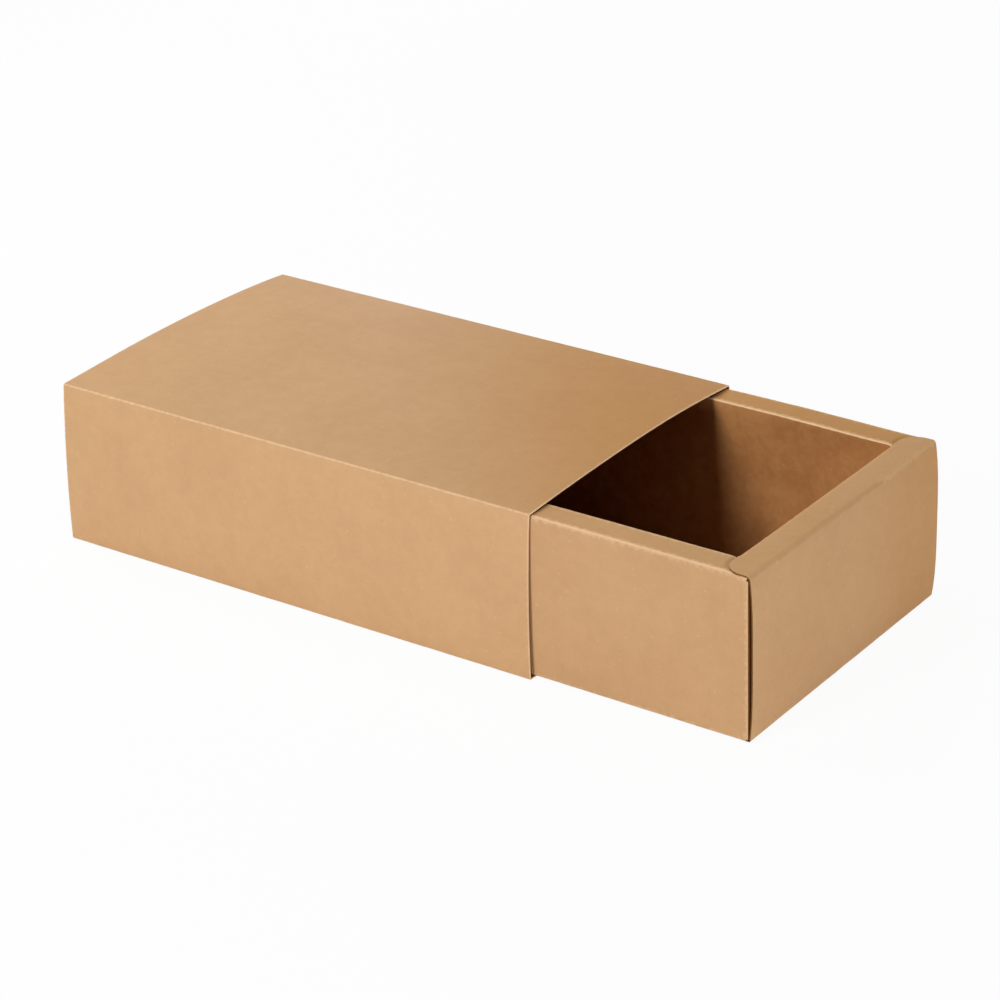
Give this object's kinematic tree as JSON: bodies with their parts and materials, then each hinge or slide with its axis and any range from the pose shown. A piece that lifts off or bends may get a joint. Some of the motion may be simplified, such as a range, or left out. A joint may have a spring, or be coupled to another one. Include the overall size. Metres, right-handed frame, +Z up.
{
  "type": "sliding drawer gift box",
  "caption": "Kraft card gift box: an open-ended folded sleeve with a hollow-walled folded tray that slides out of it like a drawer.",
  "frame": {"origin": "centre of the sleeve's resting face, on the surface it stands on", "axes": "+X the way the tray is pulled out, along the sleeve; +Y to the right-hand side of someone facing the tray's front; +Z up"},
  "size_m": [0.2825, 0.122, 0.0624],
  "materials": {
    "sleeve_card": "matte",
    "tray_card": "matte",
    "glue": "satin"
  },
  "bodies": {
    "sleeve": {"sleeve_bottom_panel": "sleeve_card", "sleeve_glue_film": "glue", "sleeve_glue_flap": "sleeve_card", "sleeve_left_panel": "sleeve_card", "sleeve_right_panel": "sleeve_card", "sleeve_top_panel": "sleeve_card"},
    "drawer": {"tray_back_left_flap": "tray_card", "tray_back_lining": "tray_card", "tray_back_right_flap": "tray_card", "tray_back_rim": "tray_card", "tray_back_wall": "tray_card", "tray_floor": "tray_card", "tray_front_left_flap": "tray_card", "tray_front_lining": "tray_card", "tray_front_right_flap": "tray_card", "tray_front_rim": "tray_card", "tray_front_wall": "tray_card", "tray_left_foot": "tray_card", "tray_left_lining": "tray_card", "tray_left_rim": "tray_card", "tray_left_wall": "tray_card", "tray_right_foot": "tray_card", "tray_right_lining": "tray_card", "tray_right_rim": "tray_card", "tray_right_wall": "tray_card"}
  },
  "joints": [
    {"name": "drawer_slide", "type": "slide", "parent": "sleeve", "child": "drawer", "axis": [1, 0, 0], "range_m": [-0.081, 0.1185]}
  ]
}
